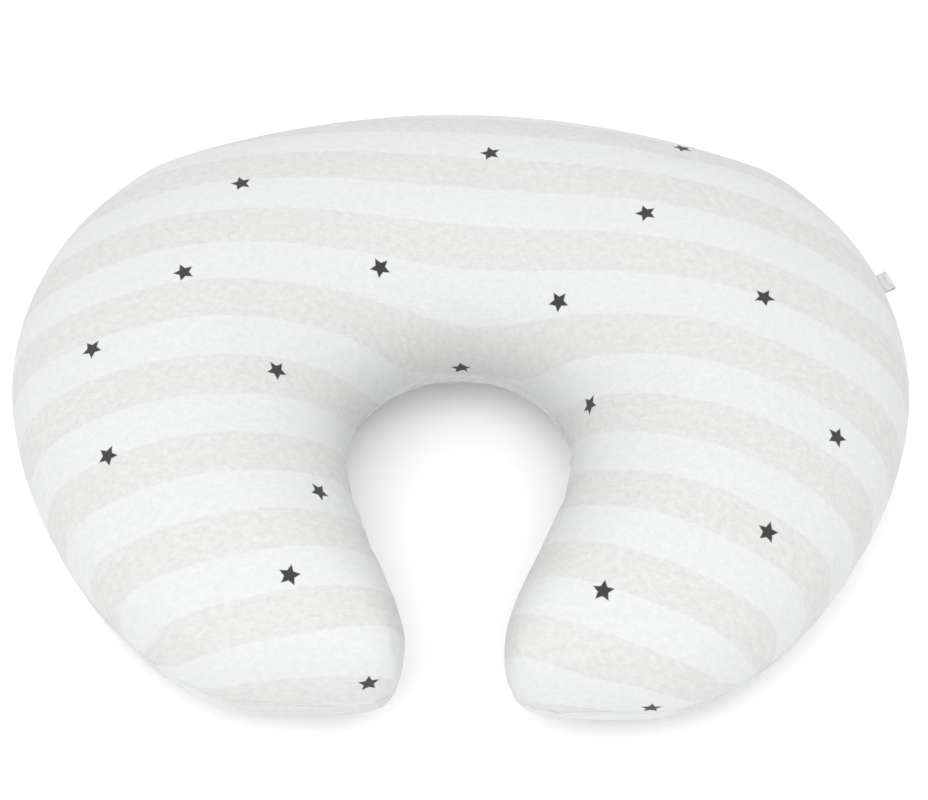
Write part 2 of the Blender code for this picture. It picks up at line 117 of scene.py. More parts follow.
OUTLINE, TIP = half_outline()
ALONG = np.concatenate([[0.0], np.cumsum(np.linalg.norm(np.diff(OUTLINE, axis=0), axis=1))])
TANGENT = np.gradient(OUTLINE, axis=0)
TANGENT /= np.linalg.norm(TANGENT, axis=1)[:, None]
TANGENT[0], TANGENT[-1] = (1, 0), (-1, 0)
BACK_END = BACK_RADIUS * BACK_TURN
OUTER_END = ALONG[TIP] - CORNER
INNER_END = ALONG[TIP] + CORNER


def outline_at(s, inset=0.0):
    """Points on the outline at distances s from the middle of the back, moved inward by inset."""
    s = np.asarray(s, float)
    p = np.stack([np.interp(s, ALONG, OUTLINE[:, k]) for k in (0, 1)], -1)
    t = np.stack([np.interp(s, ALONG, TANGENT[:, k]) for k in (0, 1)], -1)
    t /= np.linalg.norm(t, axis=-1, keepdims=True)
    return p + np.stack([t[..., 1], -t[..., 0]], -1) * np.asarray(inset)[..., None]


print("Seam length round the pillow, mm:", round(2 * ALONG[-1] * 1000))


# %% [markdown]
# ## Small helpers
# Colours are written as the sRGB hex values that a paint chart gives and turned to linear light by
# one function. One more function adds a shader node with its settings and links.

# %% Colour helper
def srgb(code):
    channels = [int(code[i:i + 2], 16) / 255 for i in (0, 2, 4)]
    return [c / 12.92 if c <= 0.04045 else ((c + 0.055) / 1.055) ** 2.4 for c in channels] + [1.0]


def darker(code, share):
    return [c * share for c in srgb(code)[:3]] + [1.0]


print("Mid grey 808080 is, in linear light,", round(srgb("808080")[0], 3))


# %% Node helper
def node(tree, kind, inputs=None, stops=(), **settings):
    """Adds a node; a node given as an input is linked from its first output, a value is set.

    Stops are the places and colours of a colour ramp."""
    made = tree.nodes.new("ShaderNode" + kind)
    for name, value in settings.items():
        setattr(made, name, value)
    for key, value in (inputs or {}).items():
        if isinstance(value, bpy.types.Node):
            value = value.outputs[0]
        if isinstance(value, bpy.types.NodeSocket):
            tree.links.new(value, made.inputs[key])
        else:
            made.inputs[key].default_value = value
    for i, (place, colour) in enumerate(stops):
        made.color_ramp.elements[i].position = place
        made.color_ramp.elements[i].color = colour
    return made


def new_material(name):
    made = bpy.data.materials.new(name)
    made.use_nodes = True
    print("Material:", name)
    return made, made.node_tree, made.node_tree.nodes["Principled BSDF"]


# %% [markdown]
# ## Helpers for objects
# An operator acts on whatever is selected, so one helper selects just what is wanted. Another
# merges the doubled points of the active mesh and turns its faces outward, and a third gives a
# sheet its thickness.

# %% Object helpers
def select_only(*objects):
    """Selects just these objects and makes the first one active."""
    bpy.ops.object.select_all(action="DESELECT")
    for ob in objects:
        ob.select_set(True)
    bpy.context.view_layer.objects.active = objects[0]


def close_up(threshold):
    """Merges doubled points of the active mesh, then points its faces outward."""
    bpy.ops.object.mode_set(mode="EDIT")
    bpy.ops.mesh.select_all(action="SELECT")
    bpy.ops.mesh.remove_doubles(threshold=threshold)
    bpy.ops.mesh.normals_make_consistent(inside=False)
    bpy.ops.object.mode_set(mode="OBJECT")


def thicken(ob, thickness, offset=-1):
    """Gives a sheet its thickness, on its inner side unless the offset says otherwise."""
    wall = ob.modifiers.new("Thickness", "SOLIDIFY")
    wall.thickness, wall.offset = thickness, offset
    select_only(ob)
    bpy.ops.object.modifier_apply(modifier="Thickness")


# %% [markdown]
# ## The printed cotton jersey
# The cover is a fine single jersey, a soft knit of combed cotton. Broad stripes alternate between
# bleached white and grey marl, which is spun from white and grey fibres mixed, so the grey looks
# heathered. Small charcoal stars are printed over both. The pattern reads two sets of coordinates
# that the panels carry: the flat cloth's own, in metres, and each face's place round its nearest
# star. So the stripes bend only where the cloth does, and the stars stay crisp.

# %% Fabric sizes
STRIPE_REPEAT = 0.0615      # one white and one grey stripe
STAR_SIZE = 0.0064          # centre of a star to its points
STAR_NOTCH = 0.53           # centre to the notches between its points, as a share of that
WALE = 0.0016               # knit columns, drawn about twice as wide as a fine jersey's to show
COURSE = 0.0013             # knit rows
print("Width of a stripe, mm:", round(STRIPE_REPEAT * 500, 1))
print("Width of a star, mm:", round(2000 * STAR_SIZE * math.cos(math.pi / 10), 1))


# %% Stripes
def stripe_mask(tree, cloth, down):
    """1 on a white stripe and 0 on a grey one; their edges wander a little, as in real knit."""
    waver = node(tree, "TexNoise", {"Vector": cloth, "Scale": 160.0, "Detail": 2.0})
    lines = node(tree, "Math", {0: waver, 1: 0.0022, 2: down}, operation="MULTIPLY_ADD")
    phase = node(tree, "Math", {0: lines, 1: STRIPE_REPEAT}, operation="DIVIDE")
    fold = node(tree, "Math", {0: phase, 1: 0.5}, operation="PINGPONG")
    return node(tree, "MapRange", {"Value": fold, "From Min": 0.235, "From Max": 0.265},
                interpolation_type="SMOOTHSTEP")


# %% [markdown]
# A star needs no picture. Folding the plane round its centre ten times leaves half of one point,
# whose only edge is a straight line from the tip to the notch. The side of that line tells ink
# from cloth, and a little noise in the radius roughens the edge, as ink does on knit.

# %% A five-pointed star
def star_ink(tree, star):
    """How much ink a place has, from its coordinates round the star's centre."""
    spot = node(tree, "SeparateXYZ", {0: star})
    turn = node(tree, "Math", {0: spot.outputs[1], 1: spot.outputs[0]}, operation="ARCTAN2")
    length = node(tree, "VectorMath", {0: star}, operation="LENGTH").outputs["Value"]
    rough = node(tree, "TexNoise", {"Vector": star, "Scale": 5.0, "Detail": 1.0})
    radius = node(tree, "Math", {0: rough, 1: 0.16, 2: length}, operation="MULTIPLY_ADD")
    tenth = math.pi / 5
    fold = node(tree, "Math", {0: turn, 1: tenth}, operation="PINGPONG")
    cosine = node(tree, "Math", {0: fold}, operation="COSINE")
    sine = node(tree, "Math", {0: fold}, operation="SINE")
    along = node(tree, "Math", {0: radius, 1: cosine}, operation="MULTIPLY")
    across = node(tree, "Math", {0: radius, 1: sine}, operation="MULTIPLY")
    lengthwise = node(tree, "Math", {0: along, 1: math.sin(tenth)}, operation="MULTIPLY")
    edge = node(tree, "Math", {0: across, 1: STAR_NOTCH - math.cos(tenth), 2: lengthwise},
                operation="MULTIPLY_ADD")
    border = STAR_NOTCH * math.sin(tenth)
    ink = node(tree, "MapRange", {"Value": edge, "From Min": border + 0.07, "From Max": border})
    return node(tree, "Math", {0: ink, 1: 0.96}, operation="MULTIPLY")


# %% Knitted relief
def knit_relief(tree, place):
    """The height of the knit: columns of V-shaped stitches."""
    columns = node(tree, "Math", {0: place.outputs[0], 1: WALE}, operation="DIVIDE")
    column = node(tree, "Math", {0: columns, 1: 0.5}, operation="PINGPONG")
    courses = node(tree, "Math", {0: place.outputs[1], 1: COURSE}, operation="DIVIDE")
    rise = node(tree, "Math", {0: column, 1: 1.1, 2: courses}, operation="MULTIPLY_ADD")
    stitch_turn = node(tree, "Math", {0: rise, 1: 2 * math.pi}, operation="MULTIPLY")
    stitch = node(tree, "Math", {0: stitch_turn}, operation="SINE")
    groove_turn = node(tree, "Math", {0: column, 1: 2 * math.pi}, operation="MULTIPLY")
    groove = node(tree, "Math", {0: groove_turn}, operation="SINE")
    return node(tree, "Math", {0: stitch, 1: 0.5, 2: groove}, operation="MULTIPLY_ADD")


# %% Printed jersey
def printed_jersey(name):
    made, tree, shader = new_material(name)
    cloth = node(tree, "UVMap", uv_map="cloth")
    star = node(tree, "UVMap", uv_map="star")
    place = node(tree, "SeparateXYZ", {0: cloth})

    # marl: streaks of grey fibre about 4 mm long, and a slower cloudiness
    streaks = node(tree, "Mapping", {"Vector": cloth, "Scale": (260.0, 900.0, 1.0)})
    fibres = node(tree, "TexNoise", {"Vector": streaks, "Scale": 1.0, "Detail": 3.0,
                                     "Roughness": 0.7})
    clouds = node(tree, "TexNoise", {"Vector": cloth, "Scale": 210.0, "Detail": 3.0,
                                     "Roughness": 0.6})
    streaky = node(tree, "Math", {0: fibres, 1: 0.55}, operation="MULTIPLY")
    mix = node(tree, "Math", {0: clouds, 1: 0.55, 2: streaky}, operation="MULTIPLY_ADD")
    marl = node(tree, "ValToRGB", {0: mix}, stops=((0.40, srgb("c2c2c1")), (0.70, srgb("d0d0cf"))))
    white = node(tree, "ValToRGB", {0: mix}, stops=((0.35, srgb("c9cbcb")), (0.70, srgb("d3d5d5"))))
    bands = stripe_mask(tree, cloth, place.outputs[1])
    striped = node(tree, "MixRGB", {0: bands, 1: marl, 2: white})
    printed = node(tree, "MixRGB", {0: star_ink(tree, star), 1: striped, 2: srgb("1c1c1b")})
    tree.links.new(printed.outputs[0], shader.inputs["Base Color"])

    knit_bump = node(tree, "Bump", {"Height": knit_relief(tree, place), "Strength": 0.35,
                                    "Distance": 0.0002})
    soft_bump = node(tree, "Bump", {"Height": clouds, "Strength": 0.25, "Distance": 0.0006,
                                    "Normal": knit_bump})
    tree.links.new(soft_bump.outputs[0], shader.inputs["Normal"])
    shader.inputs["Roughness"].default_value = 0.92
    shader.inputs["Specular IOR Level"].default_value = 0.25
    shader.inputs["Sheen Weight"].default_value = 0.12
    shader.inputs["Sheen Roughness"].default_value = 0.6
    return made


jersey = printed_jersey("printed_cotton_jersey")


# %% [markdown]
# ## One domed panel as a grid
# Each panel is a sheet laid on the outline: rows cross the arm from the inner edge to the outer
# edge, and columns run round the horseshoe. A primitive grid gives the faces, and its points are
# then placed row by row, because no bend or sweep gives a horseshoe with closed, rounded tips.

# %% Rows along an arm
def row_stations(back, mid, cap):
    """Places of the rows along the seam, and how far each is into the tip's rounding, 0 to 1."""
    cap_start = OUTER_END - CAP
    flat = np.concatenate([np.linspace(0, BACK_END, back + 1),
                           np.linspace(BACK_END, cap_start, mid + 1)[1:]])
    into = np.sin(np.linspace(0, math.pi / 2, cap + 1))[1:]
    s = np.concatenate([flat, cap_start + into * CAP])
    e = np.concatenate([np.zeros(len(flat)), into])
    return s, e


def fade(s, start, stop):
    """1 up to start, 0 from stop on and smooth between."""
    t = np.clip((s - start) / (stop - start), 0, 1)
    return 1 - t * t * (3 - 2 * t)


def tree_of(points):
    tree = KDTree(len(points))
    for i, p in enumerate(points):
        tree.insert((*p, 0.0) if len(p) == 2 else p, i)
    tree.balance()
    return tree


ZIP_END = BACK_RADIUS * ZIP_TURN
FINE_S = np.linspace(0, ALONG[-1], 2400)
FINE_LINE = outline_at(FINE_S)
FINE_IN = outline_at(FINE_S, 1.0) - FINE_LINE
SEAM_TREE = tree_of(FINE_LINE)
print("Zip's half length, mm:", round(ZIP_END * 1000))

# %% [markdown]
# On a filled pillow the seam doesn't stay at half height. Away from the zip the weight of the
# filling rolls the upper panel outward and the seam slips down the flank, more at the waist and
# the right tip than at the left one.

# %% How far the seam slips
SEAM_SAG = (0.14, 0.22, 0.25)   # left tip, right tip, waist, as shares of the half height


def slip_at(s, hand):
    """The seam's slip at distance s along the outline, as a share of the half height.

    There is none by the zip."""
    down = 1 - fade(s, ZIP_END * 1.25, OUTER_END * 0.90)
    tip = np.where(hand < 0, SEAM_SAG[0], SEAM_SAG[1])
    past = fade(s, ALONG[TIP], INNER_END + 0.12)
    return down * (tip * past + SEAM_SAG[2] * (1 - past))


print("Seam lower at the waist by, mm:",
      round((THICKNESS - SEAM_HEIGHT) * BELLY * SEAM_SAG[2] * 1000))

# %% [markdown]
# The height of a point follows a quarter ellipse over its distance from the seam. So the arms, the
# waist and the tips all get the same full roll, which one curve across and one along would not give.

# %% The dome's points
ROUNDING = 80               # smoothing passes over the crown


def dome(inset, drop, side, rows, angles, zipped=False, gap=0.0):
    """Points (rows, columns, 3) for one face of the pillow, and how high each is, 0 to 1."""
    s_half, e_half = row_stations(*rows)
    s = np.concatenate([-s_half[:0:-1], s_half])[:, None]
    e = np.concatenate([e_half[:0:-1], e_half])[:, None]
    hand, s = np.where(s < 0, -1.0, 1.0), np.abs(s)
    across = np.sin(angles)[None, :] * np.ones_like(s)
    v = (across + 1) / 2
    share = s / OUTER_END
    inner = outline_at(ALONG[-1] + (INNER_END - ALONG[-1]) * share, inset)
    outer = outline_at(s, inset)
    end_in, end_out = outline_at(INNER_END, inset), outline_at(OUTER_END, inset)
    end = outline_at(INNER_END + (OUTER_END - INNER_END) * v, inset)
    w = v[..., None]
    bulge = end - (end_in * (1 - w) + end_out * w)
    plan = inner * (1 - w) + outer * w + (e**2)[..., None] * bulge

    # the height follows the distance to the seam, so that the tips are as round as the arms
    found = [SEAM_TREE.find((x, y, 0))[1] for x, y in plan.reshape(-1, 2)]
    found = np.array(found).reshape(across.shape)
    into = FINE_IN[found]
    deep = ((plan - FINE_LINE[found]) * into).sum(-1) - inset
    on_seam = (np.abs(across) > 0.9999) | (e * np.ones_like(across) > 0.9999)
    deep = np.where(on_seam, 0, np.maximum(deep, 0))
    cap_s = np.minimum(s, OUTER_END - CAP * 0.6)
    in_mid = outline_at(ALONG[-1] + (INNER_END - ALONG[-1]) * cap_s / OUTER_END, inset)
    half = np.linalg.norm(outline_at(cap_s, inset) - in_mid, axis=-1) / 2 * 0.96
    rise = np.sqrt(1 - (1 - np.clip(deep / half, 0, 1)) ** 2)
    slip = slip_at(FINE_S[found], hand)
    height = rise - side * slip * (1 - rise) ** 2
    new_deep = half * (1 - np.sqrt(np.clip(1 - height**2, 0, 1)))
    move = np.where(slip > 1e-6, new_deep - np.minimum(deep, half), 0)
    plan = plan + into * move[..., None]
    soft = rise.copy()
    high = np.clip((rise[1:-1, 1:-1] - 0.45) / 0.35, 0, 1)
    for _ in range(ROUNDING):   # the filling rounds off the ridge where two flanks meet
        mean = (soft[2:, 1:-1] + soft[:-2, 1:-1] + soft[1:-1, 2:] + soft[1:-1, :-2]) / 4
        soft[1:-1, 1:-1] += (mean - soft[1:-1, 1:-1]) * high
    height = height + soft - rise

    crown = THICKNESS - SEAM_HEIGHT - drop
    crown = crown * (1 - (1 - CROWN_BACK) * fade(share, 0.0, 0.5))
    # the back's rear flank is slacker than the arms and falls away a little sooner
    crown = crown * (1 - REAR_SLACK * fade(s, 0.05, 0.34) * np.clip((v - 0.45) / 0.5, 0, 1))
    rim = gap * np.ones_like(across)
    if zipped:
        near_outer = np.clip((v - 0.5) * 2, 0, 1)
        strip = fade(s, ZIP_END, ZIP_END * 1.35) * near_outer
        rim = rim + (ZIP_STRIP - gap) * strip
        slot = fade(s, ZIP_END * SLOT_CLOSES[0], ZIP_END * SLOT_CLOSES[1])
        rim = np.where(across > 0.9999, gap + (ZIP_EDGE - gap) * slot, rim)
    above = SEAM_HEIGHT + rim + (crown - rim) * height
    low = SEAM_HEIGHT - rim - (crown * BELLY - rim) * (height if side < 0 else -height)
    z = np.where(height < 0, low, above) if side > 0 else low
    if side < 0:
        z = drop + np.logaddexp(0, (z - drop) / FLOOR_SOFT) * FLOOR_SOFT
    return np.stack([plan[..., 0] * hand, plan[..., 1] + CENTRE_Y, z], -1), rise


# %% The seam's own line
def seam_points(s):
    """The sewn seam's own line in space, at signed distances s from the middle of the back."""
    hand, far = np.where(s < 0, -1.0, 1.0), np.abs(s)
    slip = slip_at(far, hand)
    flat = outline_at(far, 0.08 * (1 - np.sqrt(1 - slip**2)))
    z = SEAM_HEIGHT - (THICKNESS - SEAM_HEIGHT) * BELLY * slip
    return np.stack([flat[..., 0] * hand, flat[..., 1] + CENTRE_Y, z], -1)


print("Seam height at a tip, mm:", round(float(seam_points(ALONG[TIP])[2]) * 1000, 1))


# %% A sheet laid on a grid of points
def sheet(name, points, flip):
    """A primitive grid with its points placed, so that its faces look outward."""
    rows, columns = points.shape[:2]
    bpy.ops.object.select_all(action="DESELECT")
    bpy.ops.mesh.primitive_grid_add(x_subdivisions=columns - 1, y_subdivisions=rows - 1, size=1)
    ob = bpy.context.object
    ob.name = ob.data.name = name
    ob.data.vertices.foreach_set("co", points.reshape(-1).astype(np.float32))
    if flip:
        ob.data.flip_normals()
    ob.data.update()
    return ob


# %% The panels' grid
# closely spaced columns by the seam, then even ones over the crown
NEAR_SEAM = [0.0, 0.7, 1.6, 3.0, 5.0, 7.6]
even = np.linspace(10.8, 169.2, 47)
ANGLES = np.radians(np.concatenate([NEAR_SEAM, even, [180 - a for a in NEAR_SEAM[::-1]]]) - 90)
ROWS = (26, 32, 15)
print("Panel grid:", 2 * sum(ROWS) + 1, "rows by", len(ANGLES), "columns")


# %% [markdown]
# ## Flat cloth coordinates
# A print is made on flat cloth, so a panel has to know where each of its points lay before it was
# pulled over the filling. The flat panel is taken to be a horseshoe too, only wider open, whose
# arms the filling draws together by 15 degrees each. So each row keeps most of its length over the
# dome and is turned back by that much, and the stripes, which run straight across the flat cloth,
# come out slanting on the arms. The cloth is taken to lie about 5 degrees off the axis.

# %% The opened panel
ARMS_OPEN = math.radians(15)
ARMS_BEND = 0.25            # length of the back over which they open
CLOTH_SLANT = 0.086
CLOTH_SHIFT = 0.2093        # where the stripes start
UNDER_STRIPES_AS_SHADE_SHIFT = (0.013, -0.014)   # the under panel's printed stripes are shifted so that a grey stripe lies under the left tip's seam as painted shade
LENGTHWISE = 1.10           # how much closer the filling draws the stripes
PULLED = 0.012              # how far the knit is drawn out toward the tips
GIVE = 0.75                 # share of a row's extra length over the dome that the cloth supplies
WAIST_STRETCH = 0.12        # how much less cloth the steep edge of the waist uses up


def flat_cloth(points):
    """Each point's place on the flat cloth, in metres, across and along the stripes' repeat."""
    plan = points[..., :2]
    rows, columns = plan.shape[:2]
    middle, centre = rows // 2, columns // 2

    def lengths(line, axis):
        return np.cumsum(np.linalg.norm(np.diff(line, axis=axis), axis=-1), axis=axis)

    over = np.pad(lengths(points, 1), ((0, 0), (1, 0)))
    under = np.pad(lengths(plan, 1), ((0, 0), (1, 0)))
    over, under = (d - d[:, centre:centre + 1] for d in (over, under))
    longer = np.divide(over, under, out=np.ones_like(over), where=np.abs(under) > 1e-6)
    line = plan[:, centre]
    s = np.pad(lengths(line, 0), (1, 0))
    s -= s[middle]
    t = np.clip(np.abs(s) / ARMS_BEND, 0, 1)
    turn = np.sign(s) * ARMS_OPEN * t * t * (3 - 2 * t)

    def turned(v, a):
        c, n = np.cos(a), np.sin(a)
        return np.stack([v[..., 0] * c - v[..., 1] * n, v[..., 0] * n + v[..., 1] * c], -1)

    slope = np.linalg.norm(np.diff(points[:, centre], axis=0), axis=-1)
    slope /= np.linalg.norm(np.diff(line, axis=0), axis=-1) + 1e-9
    steps = np.diff(line, axis=0) * (1 + GIVE * (slope - 1))[:, None]
    for order in (range(middle, rows - 1), range(middle - 1, -1, -1)):
        last = None
        for i in order:         # past the widest place the cloth still runs on, so never back
            if last is not None and steps[i] @ last < 0:
                steps[i] *= -1
            last = steps[i]
    steps = turned(steps, (turn[1:] + turn[:-1]) / 2)
    spine = np.pad(np.cumsum(steps, axis=0), ((1, 0), (0, 0)))
    spine += line[middle] - spine[middle]
    # only the very edge of the waist is stretched, hence the high power
    tight = WAIST_STRETCH * fade(np.abs(s), 0.05, 0.17)[:, None] * (np.arange(columns) < centre)
    tight = tight * (under / under[:, :1]) ** 6
    across = plan - line[:, None]
    across /= np.linalg.norm(across, axis=-1, keepdims=True) + 1e-9
    across *= (np.abs(under) * (1 + GIVE * (longer - 1)) * (1 - tight))[..., None]
    flat = spine[:, None] + turned(across, turn[:, None])
    x, y = flat[..., 0], flat[..., 1]
    v = LENGTHWISE * y + CLOTH_SLANT * x + PULLED * (y / 0.2) ** 3 - CLOTH_SHIFT
    return np.stack([x - CLOTH_SLANT * y, v], -1)


# %% Reading and writing a mesh's points
def set_uv(ob, name, corner_values):
    layer = ob.data.uv_layers.get(name) or ob.data.uv_layers.new(name=name)
    layer.data.foreach_set("uv", corner_values.reshape(-1).astype(np.float32))


def corner_vertices(ob):
    index = np.empty(len(ob.data.loops), np.int32)
    ob.data.loops.foreach_get("vertex_index", index)
    return index


def places(ob):
    co = np.empty(len(ob.data.vertices) * 3, np.float32)
    ob.data.vertices.foreach_get("co", co)
    return co.reshape(-1, 3).astype(float)


def put(ob, co):
    ob.data.vertices.foreach_set("co", co.reshape(-1).astype(np.float32))
    ob.data.update()


# %% Lay out both panels
top_points, top_round = dome(0.0, 0.0, 1, ROWS, ANGLES, zipped=True)
low_points, low_round = dome(0.0, 0.0, -1, ROWS, ANGLES, zipped=True)
top_panel = sheet("cover_top_panel_cloth", top_points, flip=True)
low_panel = sheet("cover_bottom_panel_cloth", low_points, flip=False)
# the under panel's stripe shift puts a grey stripe of the print under the left tip's seam, where it
# stands in for painted shade
flats = [flat_cloth(top_points), flat_cloth(low_points) + UNDER_STRIPES_AS_SHADE_SHIFT]
print("Flat cloth, mm:", [np.round(np.ptp(f.reshape(-1, 2), axis=0) * 1000) for f in flats])

# %% [markdown]
# ## Fill the cover
# The two panels are sewn along the seam and blown up a little, as the filling does, with the
# cloth simulation. The seam is a little tighter than the cloth beside it, which gathers the
# cloth into short soft puckers there. The zip's edges hold still. Each move is limited to about
# 4 mm, so the pillow stays close to the domes it starts from.

# %% What is held still and what is drawn tight
SEAM_REACH = 0.006          # how far from the seam the cloth is drawn tight


def mark_groups(skin, rest):
    tree = tree_of(seam_points(np.linspace(-ALONG[-1], ALONG[-1], 3000)))
    distance = np.array([tree.find(p)[2] for p in rest])
    near = np.exp(-(distance / SEAM_REACH) ** 2)
    angle = np.abs(np.arctan2(rest[:, 0], rest[:, 1] - ARC_Y))
    radius = np.hypot(rest[:, 0], rest[:, 1] - ARC_Y)
    zip_zone = (angle < ZIP_TURN * 1.08) & (radius > BACK_RADIUS - 0.012)
    zip_zone &= np.abs(rest[:, 2] - SEAM_HEIGHT) < 0.022
    still = skin.vertex_groups.new(name="still")
    tight = skin.vertex_groups.new(name="tight")
    floor_zone = rest[:, 2] < 0.002
    for i, (hold, close) in enumerate(zip(zip_zone | floor_zone, near)):
        if hold:
            still.add([i], 1.0, "REPLACE")
        if close > 0.05:
            tight.add([i], float(close), "REPLACE")


# %% Sew, inflate and read back
def inflate(panels, frames=16):
    """How far the filling moves each point of the panels."""
    select_only(*panels)
    bpy.ops.object.duplicate()
    bpy.ops.object.join()
    skin = bpy.context.object
    skin.name = "sewn_cover"
    close_up(0.00005)
    rest = places(skin)
    mark_groups(skin, rest)
    cloth = skin.modifiers.new("Cloth", "CLOTH")
    made = cloth.settings
    made.quality = 6
    made.mass = 0.15
    made.tension_stiffness = made.compression_stiffness = 25
    made.shear_stiffness = 12
    made.bending_stiffness = 0.6
    made.air_damping = 4
    made.use_pressure = True
    made.uniform_pressure_force = 5.0
    made.vertex_group_mass = "still"
    made.vertex_group_shrink = "tight"
    made.shrink_min, made.shrink_max = 0.0, 0.05
    made.effector_weights.gravity = 0
    cloth.collision_settings.use_collision = False
    cloth.point_cache.frame_start, cloth.point_cache.frame_end = 1, frames
    scene = bpy.context.scene
    for frame_number in range(1, frames + 1):
        scene.frame_set(frame_number)
    bpy.ops.object.modifier_apply(modifier="Cloth")
    scene.frame_set(1)
    moved = places(skin) - rest
    finder = tree_of(rest)
    found = [np.array([moved[finder.find(p)[1]] for p in places(panel)]) for panel in panels]
    bpy.data.objects.remove(skin)
    return found


# %% Limit the moves and apply them
def facing(ob):
    normals = np.empty(len(ob.data.vertices) * 3, np.float32)
    ob.data.vertex_normals.foreach_get("vector", normals)
    return normals.reshape(-1, 3).astype(float)


def held_back(move, normals, most=0.004, inward=0.0006):
    """Softly limits each move, and inward ones more, for the filling does not give way."""
    length = np.linalg.norm(move, axis=1, keepdims=True) + 1e-9
    move = move / length * most * np.tanh(length / most)
    out = (move * normals).sum(1, keepdims=True)
    kept = np.where(out < 0, -inward * np.tanh(-out / inward), out)
    return move + normals * (kept - out)


filled = []
for panel, move in zip((top_panel, low_panel), inflate((top_panel, low_panel))):
    print(panel.name, "moved up to, mm:", round(float(np.abs(move).max() * 1000), 1))
    co = places(panel) + held_back(move, facing(panel))
    co[:, 2] = np.maximum(co[:, 2], 0.0002)
    filled.append(co)
joined = np.linalg.norm(places(top_panel) - places(low_panel), axis=1) < 0.00001
filled[0][joined] = filled[1][joined] = (filled[0][joined] + filled[1][joined]) / 2
put(top_panel, filled[0])
put(low_panel, filled[1])

# %% [markdown]
# ## Stars on the cloth
# The stars are few and far apart, about a hand's width. Each place is given to the nearest 5 mm,
# seen from above, and by height too where the flank hangs over. Each face then stores its corners'
# places round the nearest star, turned by that star's own angle.

# %% Star places on the upper and the lower panel
TOP_STARS = [
    (-0.140, 0.115), (-0.170, 0.040), (-0.050, 0.060), (-0.220, -0.010), (-0.110, -0.020),
    (-0.205, -0.085), (-0.080, -0.100), (-0.095, -0.165), (-0.050, -0.205, 0.080),
    (0.000, 0.030, 0.060), (0.015, 0.150), (0.115, 0.095), (0.140, 0.170), (0.060, 0.040),
    (0.080, -0.025), (0.185, 0.030), (0.225, -0.060), (0.180, -0.130), (0.085, -0.170),
    (0.115, -0.210, 0.060),
]
LOW_STARS = [
    (-0.230, 0.040), (-0.150, 0.090), (-0.050, 0.120), (0.055, 0.085), (0.150, 0.120),
    (0.220, 0.030), (0.140, 0.010), (0.105, -0.080), (0.215, -0.080), (0.160, -0.160),
    (0.080, -0.150), (-0.120, 0.000), (-0.205, -0.060), (-0.090, -0.100), (-0.165, -0.150),
    (-0.075, -0.190), (0.000, 0.060), (0.120, 0.165), (-0.110, 0.170),
]


print(len(TOP_STARS), "stars on top and", len(LOW_STARS), "underneath")


# %% Each corner's place round its star
def mark_stars(ob, co, normals, wanted):
    """Stores each face corner's place round its nearest star, in the star's own tangent plane."""
    centres = [int(((co[:, :len(p)] - p) ** 2).sum(1).argmin()) for p in wanted]
    corners = co[corner_vertices(ob)]
    starts = np.empty(len(ob.data.polygons), np.int32)
    ob.data.polygons.foreach_get("loop_start", starts)
    sizes = np.diff(np.append(starts, len(corners)))
    middle = np.add.reduceat(corners, starts, axis=0) / sizes[:, None]
    away = ((middle[:, None] - co[centres][None]) ** 2).sum(-1)
    each = np.repeat(away.argmin(1), sizes)
    far = np.repeat(away.min(1), sizes) > (3 * STAR_SIZE) ** 2      # no star there
    out = normals[centres]
    first = np.array([1.0, 0, 0]) - out * out[:, :1]
    first /= np.linalg.norm(first, axis=1, keepdims=True)
    second = np.cross(out, first)
    offset = (corners - co[centres][each]) / STAR_SIZE
    u, v = (offset * first[each]).sum(1), (offset * second[each]).sum(1)
    turn = each * 2.4           # every star at an angle of its own, in radians
    c, n = np.cos(turn), np.sin(turn)
    star = np.stack([u * c - v * n, u * n + v * c], 1)
    set_uv(ob, "star", np.where(far[:, None], 5.0, star))


# %% [markdown]
# ## Finish the panels
# Each panel is made finer once, the seam draws a narrow crease along its edge, and short puckers
# fan out from it, deeper round the tight inner corners. A thin thickness is added inward.

# %% Subdivide, crease and pucker
CREASE = 0.0016
WAVES = (0.011, 0.017, 0.029)   # lengths of the puckers along the seam


